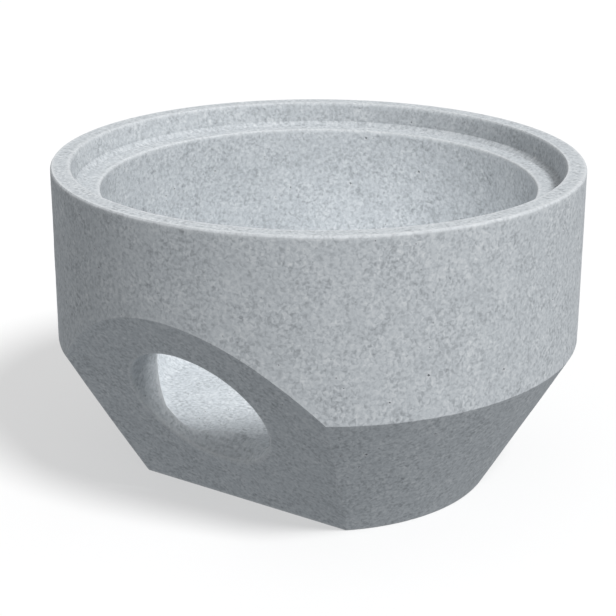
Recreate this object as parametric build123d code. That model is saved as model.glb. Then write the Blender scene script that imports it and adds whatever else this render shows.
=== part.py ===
from build123d import *
import math
import os

# Concrete gully base: a straight round shaft on a conical foot, with an outlet
# low in its side. Millimetres, +Z up. The origin is the middle of the flat
# underside, and the outlet looks towards -Y and downwards.

# Shaft and foot
bore_diameter = 450
wall_thickness = 50
total_height = 335
foot_height = 152
foot_lean = 30  # degrees from upright, outwards as it rises
floor_thickness = 76
floor_corner_radius = 25

# Seat in the rim for the next ring
rim_width = 20.5
seat_depth = 25
seat_draft = 4  # how much the recess narrows on its way down
seat_corner_width = 5.5
seat_corner_height = 4

# Sloping outlet flat and the hole square to it
flat_inset = 49.5  # how far the flat is cut into the foot, measured level
outlet_diameter = 156
outlet_height = 126.5  # middle of the hole above the underside, on the flat
outlet_inner_face = 176  # upright inner face behind the hole, from the shaft's axis

# Softened cast edges
edge_radius = 2.5

# Sizes worked out from the ones above
lean_angle = math.radians(foot_lean)
lean_rate = math.tan(lean_angle)
level_wall = wall_thickness / math.cos(lean_angle)
bore_radius = bore_diameter / 2
outer_radius = bore_radius + wall_thickness
base_radius = outer_radius - foot_height * lean_rate
floor_radius = base_radius - level_wall + floor_thickness * lean_rate
bore_bottom = (bore_radius + level_wall - base_radius) / lean_rate
seat_level = total_height - seat_depth
mouth_radius = outer_radius - rim_width
seat_wall_radius = mouth_radius - seat_draft
ledge_radius = seat_wall_radius - seat_corner_width
flat_distance = base_radius - flat_inset
outlet_distance = flat_distance + outlet_height * lean_rate
inner_slope_foot = (outlet_inner_face + level_wall - flat_distance) / lean_rate
inner_slope_top = (outer_radius + level_wall - flat_distance) / lean_rate

# The outlet flat: its normal looks out of the hole
outlet_plane = Plane(
    origin=(0, -outlet_distance, outlet_height),
    x_dir=(1, 0, 0),
    z_dir=(0, -math.cos(lean_angle), -math.sin(lean_angle)),
)

# Outside: foot and shaft turned as one, then cut by the outlet flat
with BuildPart() as outside:
    with BuildSketch(Plane.XZ) as outside_profile:
        with BuildLine():
            Polyline(
                (0, 0),
                (base_radius, 0),
                (outer_radius, foot_height),
                (outer_radius, total_height),
                (0, total_height),
                close=True,
            )
        make_face()
        outer_corners = outside_profile.vertices().filter_by(lambda corner: corner.X > 0)
        fillet(outer_corners, radius=edge_radius)
    revolve(axis=Axis.Z)
    split(bisect_by=outlet_plane, keep=Keep.BOTTOM)

# Hollow: floor, cone, bore, ledge and drafted recess turned as one
with BuildPart() as hollow:
    with BuildSketch(Plane.XZ) as hollow_profile:
        with BuildLine():
            Polyline(
                (0, floor_thickness),
                (floor_radius, floor_thickness),
                (bore_radius, bore_bottom),
                (bore_radius, seat_level),
                (ledge_radius, seat_level),
                (seat_wall_radius, seat_level + seat_corner_height),
                (mouth_radius, total_height),
                (0, total_height),
                close=True,
            )
        make_face()
        floor_corner = hollow_profile.vertices().sort_by_distance((floor_radius, 0, floor_thickness))[0]
        fillet(floor_corner, radius=floor_corner_radius)
    revolve(axis=Axis.Z)

    # Wall kept behind the outlet: upright beside the hole, then at full
    # thickness along the slope until it runs out into the bore
    with BuildSketch(Plane.YZ):
        with BuildLine():
            Polyline(
                (-outlet_inner_face, 0),
                (-outlet_inner_face, inner_slope_foot),
                (-outer_radius, inner_slope_top),
                (-outer_radius, 0),
                close=True,
            )
        make_face()
    extrude(amount=outer_radius, both=True, mode=Mode.SUBTRACT)

# Casting: outside less the hollow and the outlet hole
with BuildPart() as casting:
    add(outside.part)
    add(hollow.part, mode=Mode.SUBTRACT)
    with Locations(outlet_plane):
        Hole(radius=outlet_diameter / 2, depth=wall_thickness * 1.5)

    # Soften the mouth of the recess and the edge of the ledge
    circles = casting.edges().filter_by(GeomType.CIRCLE)
    mouth_edge = circles.filter_by_position(Axis.Z, total_height - 0.1, total_height + 0.1)
    mouth_edge = mouth_edge.filter_by(lambda edge: abs(edge.radius - mouth_radius) < 0.1)
    ledge_edge = circles.filter_by_position(Axis.Z, seat_level - 0.1, seat_level + 0.1)
    ledge_edge = ledge_edge.filter_by(lambda edge: abs(edge.radius - bore_radius) < 0.1)
    fillet(mouth_edge + ledge_edge, radius=edge_radius)

gully_base = casting.part
gully_base.label = "gully_base"

os.makedirs("parts", exist_ok=True)
export_step(gully_base, "parts/gully_base.step")
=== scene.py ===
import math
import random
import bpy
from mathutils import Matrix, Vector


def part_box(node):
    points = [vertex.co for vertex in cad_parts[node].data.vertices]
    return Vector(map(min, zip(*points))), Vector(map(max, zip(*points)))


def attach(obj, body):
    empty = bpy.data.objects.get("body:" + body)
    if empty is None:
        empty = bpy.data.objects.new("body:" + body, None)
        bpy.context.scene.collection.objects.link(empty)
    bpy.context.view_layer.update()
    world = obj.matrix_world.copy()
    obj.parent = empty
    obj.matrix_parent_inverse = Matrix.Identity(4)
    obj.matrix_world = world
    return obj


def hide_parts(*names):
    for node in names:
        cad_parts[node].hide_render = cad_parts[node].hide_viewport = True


bl_info = {
    "name": "Concrete Gully Base",
    "version": (1, 0, 0),
    "blender": (4, 5, 0),
    "location": "3D View > Sidebar > Gully Base",
    "description": "A precast concrete gully base with a sloping outlet flat, and a plain studio for it",
    "category": "Add Mesh",
}

import bpy
from bpy.props import FloatProperty, FloatVectorProperty, IntProperty, PointerProperty
from mathutils import Matrix, Vector
from mathutils.kdtree import KDTree

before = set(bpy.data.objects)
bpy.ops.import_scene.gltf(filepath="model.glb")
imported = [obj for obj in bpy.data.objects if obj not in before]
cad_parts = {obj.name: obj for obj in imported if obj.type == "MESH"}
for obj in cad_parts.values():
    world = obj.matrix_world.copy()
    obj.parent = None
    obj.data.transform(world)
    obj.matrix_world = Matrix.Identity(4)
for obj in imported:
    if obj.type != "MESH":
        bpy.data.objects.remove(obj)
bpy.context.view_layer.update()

MM = 0.001
COLUMNS = 320  # columns of faces round the casting
COURSE = 5.5 * MM  # height of a course of faces
FLAT_SNAP = 0.2 * MM  # points this near the outlet flat are taken onto it
COURSE_SNAP = 0.5 * MM  # points this near a column's or course's line are taken onto it
CAST_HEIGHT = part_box("gully_base")[1].z
CAST_DIAMETER = 2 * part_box("gully_base")[1].x


def linear(hex_colour):
    """The linear colour of an sRGB hex value, as a shader wants it."""
    parts = [int(hex_colour[i : i + 2], 16) / 255 for i in (1, 3, 5)]
    return [c / 12.92 if c <= 0.04045 else ((c + 0.055) / 1.055) ** 2.4 for c in parts]


def size(name, description, default_mm, low_mm=0.1):
    """A length that a user would change, kept in metres and shown in the scene's unit."""
    return FloatProperty(
        name=name,
        description=description,
        default=default_mm * MM,
        min=low_mm * MM,
        unit="LENGTH",
        subtype="DISTANCE",
        precision=4,
    )


def tint(name, description, hex_colour):
    """A colour that a user would change."""
    return FloatVectorProperty(
        name=name,
        description=description,
        default=linear(hex_colour),
        size=3,
        min=0,
        max=1,
        subtype="COLOR",
    )


class GullyCastingSizes(bpy.types.PropertyGroup):
    """Sizes of the casting"""

    wall_thickness: size("Wall thickness", "Concrete between the bore and the outside", 50)
    foot_height: size("Foot height", "Height of the conical foot", 152)
    foot_lean: FloatProperty(
        name="Foot lean",
        description="How far the foot and the outlet flat lean from upright",
        default=math.radians(30),
        min=math.radians(5),
        max=math.radians(45),
        subtype="ANGLE",
    )
    floor_thickness: size("Floor thickness", "Concrete under the hollow", 76)
    floor_corner: size("Floor corner", "Radius of the rounded corner between floor and cone", 25)
    rim_width: size("Rim width", "Flat top of the wall round the recess", 20.5)
    seat_depth: size("Seat depth", "From the rim down to the ledge", 25)
    seat_draft: size("Seat draft", "How much the recess narrows on its way down", 4)
    seat_corner_width: size("Seat corner width", "Sloping corner above the ledge, measured level", 5.5)
    seat_corner_height: size("Seat corner height", "Sloping corner above the ledge, measured up", 4)
    flat_inset: size("Flat inset", "How far the outlet flat is cut into the foot at the bottom", 49.5)
    outlet_diameter: size("Outlet diameter", "Round hole square to the outlet flat", 156)
    outlet_height: size("Outlet height", "Middle of the outlet above the underside", 126.5)
    outlet_inner_face: size("Outlet inner face", "Upright face behind the outlet, from the axis", 176)
    edge_radius: size("Edge radius", "Radius of the softened cast edges", 2.5)


class GullySurfaceSizes(bpy.types.PropertyGroup):
    """Unevenness, air holes and nicks of the cast surface"""

    wave_width: size("Wave width", "Width of the soft unevenness of the faces", 45)
    wave_depth: size("Wave depth", "Depth of the soft unevenness of the faces", 0.5, 0)
    air_hole_width: size("Air hole width", "Usual width of the air holes", 2.6)
    nick_depth: size("Nick depth", "Usual depth of the nicks along the edges", 0.9)
    air_holes: IntProperty(
        name="Air holes",
        description="How many air holes are tried",
        default=260,
        min=1,
    )
    nicks: IntProperty(
        name="Nicks",
        description="How many nicks are tried along the edges",
        default=40,
        min=1,
    )
    seed: IntProperty(
        name="Seed",
        description="Another number places the air holes and nicks elsewhere",
        default=7,
    )


class GullyConcreteLook(bpy.types.PropertyGroup):
    """Colours and grain of the concrete"""

    paste: tint("Cement paste", "The grey that most of the surface has", "#BCC1C5")
    shadow_grain: tint("Dark grain", "Sand and damp specks in the paste", "#909498")
    pale_grain: tint("Pale grain", "Lime bloom and pale specks in the paste", "#D7DADC")
    grain_size: size("Grain size", "Width of the flecks of sand that show", 3.6)
    blotch_size: size("Blotch size", "Width of the soft cloudy patches", 42)
    pore_spacing: size("Pore spacing", "Usual distance between open pores", 11)
    # Painted shade: this grey is laid into the open pores and the inner corners, and the next two set
    # how far and how strongly the inner corners are darkened
    pore_shade: tint("Pore shade", "The dark of the open pores and dusty corners", "#6E7276")
    corner_reach: size("Corner reach", "How far the dust of an inner corner spreads", 8)
    corner_shade: FloatProperty(
        name="Corner shade",
        description="How much the inner corners darken",
        default=0.5,
        min=0,
        max=1,
        subtype="FACTOR",
    )
    arris_reach: size("Arris reach", "Width of the paler worn edges", 5)
    arris_wear: FloatProperty(
        name="Arris wear",
        description="How much the outward edges pale",
        default=0.65,
        min=0,
        max=1,
        subtype="FACTOR",
    )


class GullyStudioLook(bpy.types.PropertyGroup):
    """Lamps and floor"""

    key_strength: FloatProperty(
        name="Key lamp",
        description="Light of the big soft lamp on the right",
        default=2.84,
        min=0,
    )
    sky_strength: FloatProperty(
        name="Sky",
        description="Even light from all round",
        default=0.41,
        min=0,
    )
    key_azimuth: FloatProperty(
        name="Key lamp azimuth",
        description="How far round to the right of the camera the key lamp stands",
        default=math.radians(41),
        subtype="ANGLE",
    )
    key_rise: FloatProperty(
        name="Key lamp rise",
        description="Height of the key lamp above the horizon",
        default=math.radians(53),
        min=0,
        max=math.radians(89),
        subtype="ANGLE",
    )
    low_bore_strength: FloatProperty(
        name="Low bore lamp",
        description="Light of the soft lamp turned down to the floor of the hollow",
        default=0.068,
        min=0,
    )
    side_bore_strength: FloatProperty(
        name="Side bore lamp",
        description="Light of the soft lamp turned up to the shadowed side of the bore",
        default=0.135,
        min=0,
    )
    shadow_softening: FloatProperty(
        name="Shadow softening",
        description="How much the object's shadow on the floor is lightened",
        default=0.5,
        min=0,
        max=1,
        subtype="FACTOR",
    )
    floor_white: tint("Floor", "The floor as the camera sees it", "#FAFAFA")
    floor_bounce: tint("Floor bounce", "The light that the pale floor sends back up", "#9A9DA0")


def nothing_selected():
    """Object mode with nothing selected, so an operator acts on its own piece alone."""
    if bpy.context.mode != "OBJECT":
        bpy.ops.object.mode_set(mode="OBJECT")
    bpy.ops.object.select_all(action="DESELECT")


def only(piece):
    """This piece alone selected and active."""
    nothing_selected()
    piece.select_set(True)
    bpy.context.view_layer.objects.active = piece


def select_points(piece, wanted):
    """In edit mode, selects the vertices whose place and number pass the test."""
    bpy.ops.mesh.select_all(action="DESELECT")
    bpy.ops.object.mode_set(mode="OBJECT")
    for i, point in enumerate(piece.data.vertices):
        point.select = wanted(point.co, i)
    bpy.ops.object.mode_set(mode="EDIT")


def rounded(corners, steps=4):
    """Stations along a line of (radius, height, softness) corners, each softened to an arc."""
    stations = []
    for before, corner, after in zip(corners, corners[1:], corners[2:]):
        here = Vector(corner[:2])
        softness = corner[2]
        if softness == 0:
            stations.append(here)
            continue
        back = (Vector(before[:2]) - here).normalized()
        on = (Vector(after[:2]) - here).normalized()
        half = back.angle(on) / 2
        middle = here + (back + on).normalized() * softness / math.sin(half)
        start = (here + back * softness / math.tan(half) - middle).normalized()
        end = (here + on * softness / math.tan(half) - middle).normalized()
        stations += [middle + start.slerp(end, i / steps) * softness for i in range(steps + 1)]
    return stations


def carve(piece, tool, operation):
    """Joins the tool's solid to the piece or cuts it out, then removes the tool."""
    only(piece)
    boolean = piece.modifiers.new("carve", "BOOLEAN")
    boolean.operation = operation
    boolean.solver = "MANIFOLD"
    boolean.object = tool
    bpy.ops.object.modifier_apply(modifier=boolean.name)
    bpy.data.objects.remove(tool)


def turned_shell(name, profile, sides):
    """A ring drawn through (radius, height) stations, with both ends closed by a grid."""
    nothing_selected()
    radius, height = profile[0]
    bpy.ops.mesh.primitive_circle_add(vertices=sides, radius=radius, location=(0, 0, height))
    shell = bpy.context.object
    shell.name = name
    bpy.ops.object.transform_apply(location=True)
    bpy.ops.object.mode_set(mode="EDIT")
    bpy.ops.mesh.select_mode(type="EDGE")
    bpy.ops.mesh.select_all(action="SELECT")
    for next_radius, next_height in profile[1:]:
        bpy.ops.mesh.extrude_edges_move(
            TRANSFORM_OT_translate={"value": (0, 0, next_height - height)}
        )
        bpy.ops.transform.resize(
            value=(next_radius / radius, next_radius / radius, 1),
            center_override=(0, 0, next_height),
        )
        radius, height = next_radius, next_height
    bpy.ops.mesh.fill_grid(span=sides // 4)
    bpy.ops.mesh.select_all(action="DESELECT")
    bpy.ops.mesh.select_non_manifold()
    bpy.ops.mesh.fill_grid(span=sides // 4)
    bpy.ops.mesh.select_all(action="SELECT")
    bpy.ops.mesh.normals_make_consistent(inside=False)
    return shell


def heading(azimuth, slope=0):
    """The level direction at this azimuth from the outlet's side, with a slope added."""
    return Vector((math.sin(azimuth), -math.cos(azimuth), slope))


def point_facts(piece):
    """For each point, its shortest edge and the sharpest outward and inward turn at it.

    It fails on a mesh that isn't closed.
    """
    points = piece.data.vertices
    faces_of = {}
    for face in piece.data.polygons:
        for key in face.edge_keys:
            faces_of.setdefault(key, []).append(face)
    shortest = [1.0] * len(points)
    outward = [0.0] * len(points)
    inward = [0.0] * len(points)
    for key, (one, two) in faces_of.items():
        length = (points[key[0]].co - points[key[1]].co).length
        turn = one.normal.angle(two.normal, 0)
        bulges = (two.center - one.center).dot(one.normal) < 0
        for i in key:
            shortest[i] = min(shortest[i], length)
            turns = outward if bulges else inward
            turns[i] = max(turns[i], turn)
    return shortest, outward, inward


def scattered(piece, candidates, count, rng):
    """The candidate points nearest to random places, in whatever order the mesh keeps them."""
    near = KDTree(len(candidates))
    for i in candidates:
        near.insert(piece.data.vertices[i].co, i)
    near.balance()
    spread = CAST_DIAMETER * 0.55  # a little past the outside
    chosen = set()
    for _ in range(count):
        azimuth = rng.uniform(0, 2 * math.pi)
        reach = math.sqrt(rng.random()) * spread
        place = heading(azimuth) * reach + Vector((0, 0, rng.uniform(0, CAST_HEIGHT)))
        chosen.add(near.find(place)[1])
    return chosen


class GULLY_OT_casting(bpy.types.Operator):
    """Model the gully base as one casting, from a turned shell to its outlet"""

    bl_idname = "gully.casting"
    bl_label = "Concrete Casting"

    def execute(self, context):
        s = context.scene.gully_casting
        lean = math.tan(s.foot_lean)
        level_wall = s.wall_thickness / math.cos(s.foot_lean)
        outer = CAST_DIAMETER / 2
        bore = outer - s.wall_thickness
        base = outer - s.foot_height * lean
        floor = base - level_wall + s.floor_thickness * lean
        bore_bottom = (bore + level_wall - base) / lean
        seat = CAST_HEIGHT - s.seat_depth
        mouth = outer - s.rim_width
        seat_wall = mouth - s.seat_draft
        seat_corner = seat + s.seat_corner_height
        ledge = seat_wall - s.seat_corner_width
        flat_foot = base - s.flat_inset

        # The turned shell, drawn up the outside, over the rim and down the inside;
        # the first and last corners only say where the line comes from and goes
        edge = s.edge_radius
        outside = rounded([
            (0, 0, 0),
            (base, 0, edge),
            (outer, s.foot_height, edge),
            (outer, CAST_HEIGHT, edge),
            (mouth, CAST_HEIGHT, edge),
            (seat_wall, seat_corner, 0),
        ])
        seat_and_bore = rounded([
            (mouth, CAST_HEIGHT, 0),
            (seat_wall, seat_corner, edge / 2),
            (ledge, seat, edge / 2),
            (bore, seat, edge),
            (bore, bore_bottom, 0),
            (floor, s.floor_thickness, 0),
        ])
        hollow_floor = rounded(
            [
                (bore, bore_bottom, 0),
                (floor, s.floor_thickness, s.floor_corner),
                (0, s.floor_thickness, 0),
            ],
            steps=8,
        )
        profile = outside + seat_and_bore + hollow_floor
        casting = turned_shell("gully_casting", profile, sides=COLUMNS)

        # The outlet flat: cut round it, then press what stands outside onto it
        flat_normal = Vector((0, -math.cos(s.foot_lean), -math.sin(s.foot_lean)))
        flat_point = Vector((0, -flat_foot, 0))
        bpy.ops.mesh.select_all(action="SELECT")
        bpy.ops.mesh.bisect(plane_co=flat_point, plane_no=flat_normal, threshold=FLAT_SNAP)
        just_inside = -1.05 * FLAT_SNAP
        select_points(casting, lambda p, i: (p - flat_point).dot(flat_normal) > just_inside)
        across = Vector((1, 0, 0))
        bpy.ops.transform.resize(
            value=(1, 1, 0),
            orient_type="GLOBAL",
            orient_matrix=(across, flat_normal.cross(across), flat_normal),
            orient_matrix_type="GLOBAL",
            center_override=flat_point,
        )
        # Pressing moves some points of the underside down a hair; level them again
        select_points(casting, lambda p, i: p.z < 0)
        bpy.ops.transform.resize(value=(1, 1, 0), center_override=(0, 0, 0))
        bpy.ops.object.mode_set(mode="OBJECT")

        # The wall kept behind the outlet: a slice of the cone and bore, upright
        # beside the hole and then sloping back until it runs out into the bore
        inner_foot = (s.outlet_inner_face + level_wall - flat_foot) / lean
        overlap = 4 * MM
        backing_top = seat - 40 * MM
        backing = turned_shell(
            "outlet_backing",
            [
                (floor + overlap, s.floor_thickness),
                (bore + overlap, bore_bottom),
                (bore + overlap, backing_top),
            ],
            sides=COLUMNS,
        )
        bpy.ops.mesh.select_all(action="SELECT")
        bpy.ops.mesh.bisect(
            plane_co=(0, -s.outlet_inner_face, 0),
            plane_no=(0, 1, 0),
            use_fill=True,
            clear_outer=True,
        )
        bpy.ops.mesh.select_all(action="SELECT")
        bpy.ops.mesh.bisect(
            plane_co=(0, -s.outlet_inner_face, inner_foot),
            plane_no=-flat_normal,
            use_fill=True,
            clear_outer=True,
        )
        bpy.ops.object.mode_set(mode="OBJECT")
        carve(casting, backing, "UNION")

        # The outlet: a round tool square to the flat, flared at its mouth
        away = flat_foot + s.outlet_height * lean
        turn = flat_normal.to_track_quat("Z", "Y").to_matrix().to_4x4()
        radius = s.outlet_diameter / 2
        reach_in, reach_out = 110 * MM, 20 * MM
        mouth_arc = rounded([(radius, -1, 0), (radius, 0, edge), (1, 0, 0)])
        tool = turned_shell(
            "outlet_tool",
            [(radius, -reach_in), *mouth_arc, (radius + edge, reach_out)],
            sides=COLUMNS // 2,
        )
        bpy.ops.object.mode_set(mode="OBJECT")
        tool.data.transform(Matrix.Translation((0, -away, s.outlet_height)) @ turn)
        carve(casting, tool, "DIFFERENCE")

        # Columns across the two inner flats behind the outlet, then courses all the
        # way up, so that every face can carry the surface's unevenness
        only(casting)
        bpy.ops.object.mode_set(mode="EDIT")
        bpy.ops.mesh.select_mode(type="FACE")
        bpy.ops.mesh.select_all(action="DESELECT")
        bpy.ops.object.mode_set(mode="OBJECT")
        alike = 0.999
        for face in casting.data.polygons:
            inner = face.center.z > s.floor_thickness and math.hypot(*face.center.xy) < bore
            flat = face.normal.y > alike or face.normal.dot(-flat_normal) > alike
            face.select = inner and flat and abs(face.center.x) < bore / 2
        bpy.ops.object.mode_set(mode="EDIT")
        bpy.ops.mesh.hide(unselected=True)
        columns = int(bore / COURSE)
        for column in range(-columns, columns + 1):
            bpy.ops.mesh.select_all(action="SELECT")
            bpy.ops.mesh.bisect(
                plane_co=(column * COURSE, 0, 0),
                plane_no=(1, 0, 0),
                threshold=COURSE_SNAP,
            )
        bpy.ops.mesh.reveal()
        bpy.ops.mesh.select_mode(type="VERT")
        courses = int(CAST_HEIGHT / COURSE)
        for course in range(1, courses):
            bpy.ops.mesh.select_all(action="SELECT")
            bpy.ops.mesh.bisect(
                plane_co=(0, 0, course * CAST_HEIGHT / courses),
                plane_no=(0, 0, 1),
                threshold=COURSE_SNAP,
            )
        bpy.ops.object.mode_set(mode="OBJECT")

        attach(casting, "root")
        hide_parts("gully_base")
        return {"FINISHED"}


class GULLY_OT_cast_surface(bpy.types.Operator):
    """Give the casting its uneven faces, air holes and nicked edges"""

    bl_idname = "gully.cast_surface"
    bl_label = "Cast Surface"

    def execute(self, context):
        s = context.scene.gully_surface
        casting = bpy.data.objects["gully_casting"]
        rng = random.Random(s.seed)

        # Uneven faces: always inwards, and none on the underside or the rim
        band = 0.3 * MM
        free = casting.vertex_groups.new(name="uneven")
        for point in casting.data.vertices:
            if band < point.co.z < CAST_HEIGHT - band:
                free.add([point.index], 1, "ADD")
        only(casting)
        for width, depth in ((s.wave_width, s.wave_depth), (s.wave_width / 4, s.wave_depth / 2)):
            cloud = bpy.data.textures.new("unevenness", "CLOUDS")
            cloud.noise_scale = width
            cloud.noise_depth = 1
            uneven = casting.modifiers.new("uneven", "DISPLACE")
            uneven.texture = cloud
            uneven.texture_coords = "LOCAL"
            uneven.strength = -depth
            uneven.mid_level = 0
            uneven.vertex_group = free.name
            bpy.ops.object.modifier_apply(modifier=uneven.name)
        casting.vertex_groups.clear()

        # Nicks: single columns of a softened arris pressed in a little. Each row is
        # a share of the nicks and their depth beside the usual one
        arris_turn, level_turn = math.radians(12), math.radians(5)
        bpy.ops.object.mode_set(mode="EDIT")
        bpy.ops.mesh.select_mode(type="VERT")
        for share, depth in ((0.6, 0.5), (0.3, 0.8), (0.1, 1.2)):
            shortest, outward, inward = point_facts(casting)
            arris = [
                i
                for i, point in enumerate(casting.data.vertices)
                if outward[i] > arris_turn and inward[i] < level_turn and point.co.z > 1 * MM
            ]
            chosen = scattered(casting, arris, round(share * s.nicks), rng)
            select_points(casting, lambda p, i: i in chosen)
            bpy.ops.transform.shrink_fatten(
                value=-depth * s.nick_depth,
                use_proportional_edit=True,
                proportional_edit_falloff="SMOOTH",
                proportional_size=s.nick_depth * 2.5,
            )

        # Air holes: points of the even faces opened into small facets and sunk. Each
        # row is a share of the holes and their width beside the usual one
        even_turn = math.radians(6)
        for share, scale in ((0.5, 0.7), (0.35, 1.0), (0.15, 1.35)):
            radius = s.air_hole_width * scale / 2
            shortest, outward, inward = point_facts(casting)
            even = [
                i
                for i, point in enumerate(casting.data.vertices)
                if shortest[i] > 2.2 * radius
                and max(outward[i], inward[i]) < even_turn
                and point.co.z > 2 * MM
            ]
            chosen = scattered(casting, even, round(share * s.air_holes), rng)
            select_points(casting, lambda p, i: i in chosen)
            bpy.ops.mesh.bevel(
                offset=radius,
                offset_type="OFFSET",
                affect="VERTICES",
                segments=2,
                profile=0.15,
            )
            bpy.ops.mesh.select_mode(type="FACE")
            bpy.ops.mesh.inset(thickness=0.3 * radius, depth=-0.8 * radius)
            bpy.ops.mesh.select_mode(type="VERT")
        bpy.ops.object.mode_set(mode="OBJECT")
        bpy.ops.object.shade_smooth_by_angle(angle=math.radians(25))
        # Flat faces stay flat up to their softened edges
        weighted = casting.modifiers.new("weighted", "WEIGHTED_NORMAL")
        weighted.keep_sharp = True
        bpy.ops.object.modifier_apply(modifier=weighted.name)
        return {"FINISHED"}


def node(tree, kind, settings=None, **inputs):
    """Adds a node, sets its own settings, and sets or links its inputs by name or number."""
    made = tree.nodes.new(kind)
    for name, value in (settings or {}).items():
        setattr(made, name, value)
    for name, value in inputs.items():
        if name[1:].isdigit():
            socket = made.inputs[int(name[1:])]
        else:
            socket = made.inputs[name.replace("_", " ")]
        if isinstance(value, bpy.types.NodeSocket):
            tree.links.new(value, socket)
        else:
            socket.default_value = value
    return made


def rgba(colour):
    """The colour with full opacity."""
    return (*colour, 1)


def seen_rays(tree):
    """1 for rays that end in the picture's eye: straight, mirrored or through glass."""
    ray = node(tree, "ShaderNodeLightPath")
    either = node(
        tree,
        "ShaderNodeMath",
        {"operation": "MAXIMUM"},
        i0=ray.outputs["Is Camera Ray"],
        i1=ray.outputs["Is Glossy Ray"],
    )
    return node(
        tree,
        "ShaderNodeMath",
        {"operation": "MAXIMUM"},
        i0=either.outputs["Value"],
        i1=ray.outputs["Is Transmission Ray"],
    ).outputs["Value"]


class GULLY_OT_concrete(bpy.types.Operator):
    """Give the casting its precast concrete"""

    bl_idname = "gully.concrete"
    bl_label = "Precast Concrete"

    def execute(self, context):
        look = context.scene.gully_concrete
        # Pressed precast concrete: sandy cement paste left bare from the mould.
        # The eye sees a matt even grey with worm-like darker and paler flecks of
        # sand, patches where the flecks are stronger or fainter, soft clouds
        # where the paste dried paler, and a few open pores. It is dull, with
        # hardly any shine. The real sand is under 1 mm; it is drawn coarser, so
        # that it doesn't flicker in a picture with 1 mm to the pixel.
        made = bpy.data.materials.new("pressed_precast_concrete")
        made.use_nodes = True
        tree = made.node_tree
        tree.nodes.clear()
        place = node(tree, "ShaderNodeTexCoord").outputs["Object"]

        # Flecks: fine ones and broader ones added together
        fine = node(
            tree,
            "ShaderNodeTexNoise",
            Vector=place,
            Scale=1 / look.grain_size,
            Detail=1.5,
            Roughness=0.5,
            Distortion=0.6,
        ).outputs["Fac"]
        broad = node(
            tree,
            "ShaderNodeTexNoise",
            Vector=place,
            Scale=1 / (3.2 * look.grain_size),
            Detail=2.0,
            Roughness=0.55,
            Distortion=0.4,
        ).outputs["Fac"]
        both = node(
            tree,
            "ShaderNodeMath",
            {"operation": "MULTIPLY_ADD"},
            i0=broad,
            i1=0.3,
            i2=fine,
        )

        # Patches: how strongly the flecks show, and how pale the paste is
        patches = node(
            tree,
            "ShaderNodeTexNoise",
            Vector=place,
            Scale=1 / (0.6 * look.blotch_size),
            Detail=2.0,
        ).outputs["Fac"]
        strength = node(
            tree,
            "ShaderNodeMapRange",
            Value=patches,
            From_Min=0.35,
            From_Max=0.65,
            To_Min=0.68,
            To_Max=1.12,
        )
        centred = node(
            tree,
            "ShaderNodeMath",
            {"operation": "SUBTRACT"},
            i0=both.outputs["Value"],
            i1=0.65,
        )
        fleck = node(
            tree,
            "ShaderNodeMath",
            {"operation": "MULTIPLY_ADD"},
            i0=centred.outputs["Value"],
            i1=strength.outputs["Result"],
            i2=0.5,
        )
        clouds = node(
            tree,
            "ShaderNodeTexNoise",
            Vector=place,
            Scale=1 / look.blotch_size,
            Detail=4.0,
            Roughness=0.55,
        ).outputs["Fac"]
        toned = node(
            tree,
            "ShaderNodeMath",
            {"operation": "MULTIPLY_ADD"},
            i0=clouds,
            i1=0.2,
            i2=fleck.outputs["Value"],
        )
        spread = node(
            tree,
            "ShaderNodeMapRange",
            Value=toned.outputs["Value"],
            From_Min=0.26,
            From_Max=0.94,
        )
        ramp = node(tree, "ShaderNodeValToRGB", Fac=spread.outputs["Result"])
        ramp.color_ramp.elements[0].color = rgba(look.shadow_grain)
        ramp.color_ramp.elements[1].color = rgba(look.pale_grain)
        ramp.color_ramp.elements.new(0.5).color = rgba(look.paste)

        # Open pores: one in each cell, most of them too small to show, darkened with painted shade
        cells = node(
            tree,
            "ShaderNodeTexVoronoi",
            Vector=place,
            Scale=1 / look.pore_spacing,
        )
        rim = node(
            tree,
            "ShaderNodeMapRange",
            Value=cells.outputs["Color"],
            From_Min=0.3,
            From_Max=1.0,
            To_Min=0.0,
            To_Max=0.13,
        )
        depth = node(
            tree,
            "ShaderNodeMath",
            {"operation": "SUBTRACT", "use_clamp": True},
            i0=rim.outputs["Result"],
            i1=cells.outputs["Distance"],
        )
        pore = node(
            tree,
            "ShaderNodeMapRange",
            Value=depth.outputs["Value"],
            From_Min=0.0,
            From_Max=0.05,
        )
        shaded = node(
            tree,
            "ShaderNodeMath",
            {"operation": "MULTIPLY"},
            i0=pore.outputs["Result"],
            i1=0.6,
        )
        # Painted shade: the pores are mixed towards the pore shade grey
        colour = node(
            tree,
            "ShaderNodeMix",
            {"data_type": "RGBA"},
            i0=shaded.outputs["Value"],
            i6=ramp.outputs["Color"],
            i7=rgba(look.pore_shade),
        )

        # Inner corners are darkened with painted shade, found by ambient occlusion; arrises are worn
        # paler
        open_air = node(
            tree,
            "ShaderNodeAmbientOcclusion",
            {"samples": 4, "only_local": True},
            Distance=look.corner_reach,
        )
        corner = node(
            tree,
            "ShaderNodeMapRange",
            Value=open_air.outputs["AO"],
            From_Min=0.65,
            From_Max=0.97,
            To_Min=look.corner_shade,
            To_Max=0.0,
        )
        # Painted shade: the colour is mixed towards the pore shade grey in the inner corners
        darkened = node(
            tree,
            "ShaderNodeMix",
            {"data_type": "RGBA"},
            i0=corner.outputs["Result"],
            i6=colour.outputs[2],
            i7=rgba(look.pore_shade),
        )
        body_behind = node(
            tree,
            "ShaderNodeAmbientOcclusion",
            {"samples": 4, "inside": True, "only_local": True},
            Distance=look.arris_reach,
        )
        arris = node(
            tree,
            "ShaderNodeMapRange",
            Value=body_behind.outputs["AO"],
            From_Min=0.7,
            From_Max=0.95,
            To_Min=look.arris_wear,
            To_Max=0.0,
        )
        worn = node(
            tree,
            "ShaderNodeMix",
            {"data_type": "RGBA"},
            i0=arris.outputs["Result"],
            i6=darkened.outputs[2],
            i7=rgba(look.pale_grain),
        )

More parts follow.
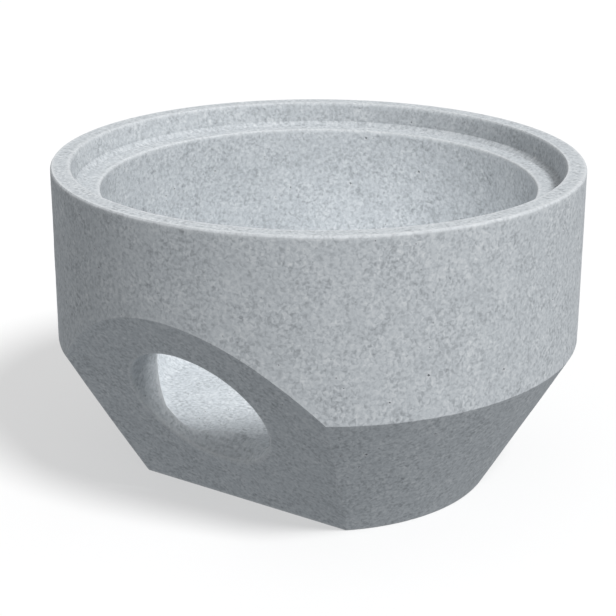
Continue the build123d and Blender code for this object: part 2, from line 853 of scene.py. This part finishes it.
        # The same flecks and pores stand up and sink a little
        height = node(
            tree,
            "ShaderNodeMath",
            {"operation": "MULTIPLY_ADD"},
            i0=pore.outputs["Result"],
            i1=-0.5,
            i2=both.outputs["Value"],
        )
        bump = node(
            tree,
            "ShaderNodeBump",
            Strength=0.35,
            Distance=0.3 * MM,
            Height=height.outputs["Value"],
        )
        shader = node(
            tree,
            "ShaderNodeBsdfPrincipled",
            Base_Color=worn.outputs[2],
            Roughness=0.9,
            Specular_IOR_Level=0.3,
            Normal=bump.outputs["Normal"],
        )
        node(tree, "ShaderNodeOutputMaterial", Surface=shader.outputs["BSDF"])
        casting = bpy.data.objects["gully_casting"]
        casting.data.materials.clear()
        casting.data.materials.append(made)
        return {"FINISHED"}


def lamp(name, data, place, direction):
    """Puts a lamp at a place, shining along a direction, out of the camera's sight."""
    placed = bpy.data.objects.new(name, data)
    bpy.context.scene.collection.objects.link(placed)
    placed.location = place
    placed.rotation_euler = (-direction).to_track_quat("Z", "Y").to_euler()
    placed.visible_camera = False


class GULLY_OT_stage(bpy.types.Operator):
    """Set up the floor, the lamps and the camera"""

    bl_idname = "gully.stage"
    bl_label = "Studio"

    def execute(self, context):
        look = context.scene.gully_studio
        nothing_selected()
        bpy.ops.mesh.primitive_plane_add(size=30, location=(0, 0, 0))
        floor = bpy.context.object
        floor.name = "studio_floor"
        made = bpy.data.materials.new("white_studio_floor")
        made.use_nodes = True
        tree = made.node_tree
        tree.nodes.clear()
        lit = node(tree, "ShaderNodeBsdfDiffuse", Color=rgba(look.floor_white))
        even = node(tree, "ShaderNodeEmission", Color=rgba(look.floor_white), Strength=1.0)
        seen = node(
            tree,
            "ShaderNodeMixShader",
            i0=look.shadow_softening,
            i1=lit.outputs["BSDF"],
            i2=even.outputs["Emission"],
        )
        bounce = node(tree, "ShaderNodeEmission", Color=rgba(look.floor_bounce), Strength=1.0)
        pick = node(
            tree,
            "ShaderNodeMixShader",
            i0=seen_rays(tree),
            i1=bounce.outputs["Emission"],
            i2=seen.outputs["Shader"],
        )
        node(tree, "ShaderNodeOutputMaterial", Surface=pick.outputs["Shader"])
        floor.data.materials.append(made)

        # White behind, and an even dimmer light from all round on the object
        world = bpy.data.worlds.new("studio_sky")
        world.use_nodes = True
        context.scene.world = world
        tree = world.node_tree
        tree.nodes.clear()
        strength = node(
            tree,
            "ShaderNodeMapRange",
            Value=seen_rays(tree),
            To_Min=look.sky_strength,
            To_Max=1.0,
        )
        shader = node(
            tree,
            "ShaderNodeBackground",
            Color=(1, 1, 1, 1),
            Strength=strength.outputs["Result"],
        )
        node(tree, "ShaderNodeOutputWorld", Surface=shader.outputs["Background"])

        # The key lamp: broad, high on the right
        camera_side = math.radians(33.26)  # azimuth of the camera from the outlet's side
        key = bpy.data.lights.new("key_lamp", "SUN")
        key.energy = look.key_strength
        key.angle = math.radians(15)
        from_key = heading(camera_side + look.key_azimuth, math.tan(look.key_rise))
        lamp("key_lamp", key, from_key * 2, -from_key)

        # Two small soft lamps in the hollow: one turned down to the floor, one
        # turned up to the bore where the key leaves it in shadow. Each row is a
        # name, strength, width, spread, height, azimuth from the camera and slope
        for name, energy, width, spread, height, azimuth, slope in (
            ("low_bore_lamp", look.low_bore_strength, 0.24, 180, 0.2, 170, -3.0),
            ("side_bore_lamp", look.side_bore_strength, 0.12, 100, 0.1, 140, 0.75),
        ):
            disk = bpy.data.lights.new(name, "AREA")
            disk.shape = "DISK"
            disk.size = width
            disk.spread = math.radians(spread)
            disk.energy = energy
            lamp(name, disk, (0, 0, height), heading(camera_side + math.radians(azimuth), slope))

        # The camera as fitted to the photograph's outlines
        camera_data = bpy.data.cameras.new("camera")
        camera_data.sensor_width = 36  # mm, as the lens
        camera_data.lens = 97.378
        camera = bpy.data.objects.new("camera", camera_data)
        context.scene.collection.objects.link(camera)
        distance, height = 1.67376, 0.7711
        pitch, yaw, roll = 0.3451, -0.0062, 0.003
        camera.matrix_world = (
            Matrix.Translation(heading(camera_side) * distance + Vector((0, 0, height)))
            @ Matrix.Rotation(camera_side - yaw, 4, "Z")
            @ Matrix.Rotation(math.pi / 2 - pitch, 4, "X")
            @ Matrix.Rotation(roll, 4, "Z")
        )
        context.scene.camera = camera
        context.scene.view_settings.view_transform = "Standard"
        return {"FINISHED"}


class GULLY_PT_panel(bpy.types.Panel):
    """Sizes, colours and steps of the gully base"""

    bl_label = "Gully Base"
    bl_idname = "GULLY_PT_panel"
    bl_space_type = "VIEW_3D"
    bl_region_type = "UI"
    bl_category = "Gully Base"

    def draw(self, context):
        layout = self.layout
        for group in ("gully_casting", "gully_surface", "gully_concrete", "gully_studio"):
            settings = getattr(context.scene, group)
            box = layout.box()
            for name in settings.__annotations__:
                box.prop(settings, name)
        for step in STEPS:
            layout.operator(step.bl_idname)


STEPS = (GULLY_OT_casting, GULLY_OT_cast_surface, GULLY_OT_concrete, GULLY_OT_stage)
CLASSES = (
    GullyCastingSizes,
    GullySurfaceSizes,
    GullyConcreteLook,
    GullyStudioLook,
    *STEPS,
    GULLY_PT_panel,
)


def register():
    for made in CLASSES:
        bpy.utils.register_class(made)
    bpy.types.Scene.gully_casting = PointerProperty(type=GullyCastingSizes)
    bpy.types.Scene.gully_surface = PointerProperty(type=GullySurfaceSizes)
    bpy.types.Scene.gully_concrete = PointerProperty(type=GullyConcreteLook)
    bpy.types.Scene.gully_studio = PointerProperty(type=GullyStudioLook)


def unregister():
    del bpy.types.Scene.gully_studio
    del bpy.types.Scene.gully_concrete
    del bpy.types.Scene.gully_surface
    del bpy.types.Scene.gully_casting
    for made in reversed(CLASSES):
        bpy.utils.unregister_class(made)


def main():
    register()
    bpy.ops.gully.casting()
    bpy.ops.gully.cast_surface()
    bpy.ops.gully.concrete()
    bpy.ops.gully.stage()


if __name__ == "__main__":
    main()
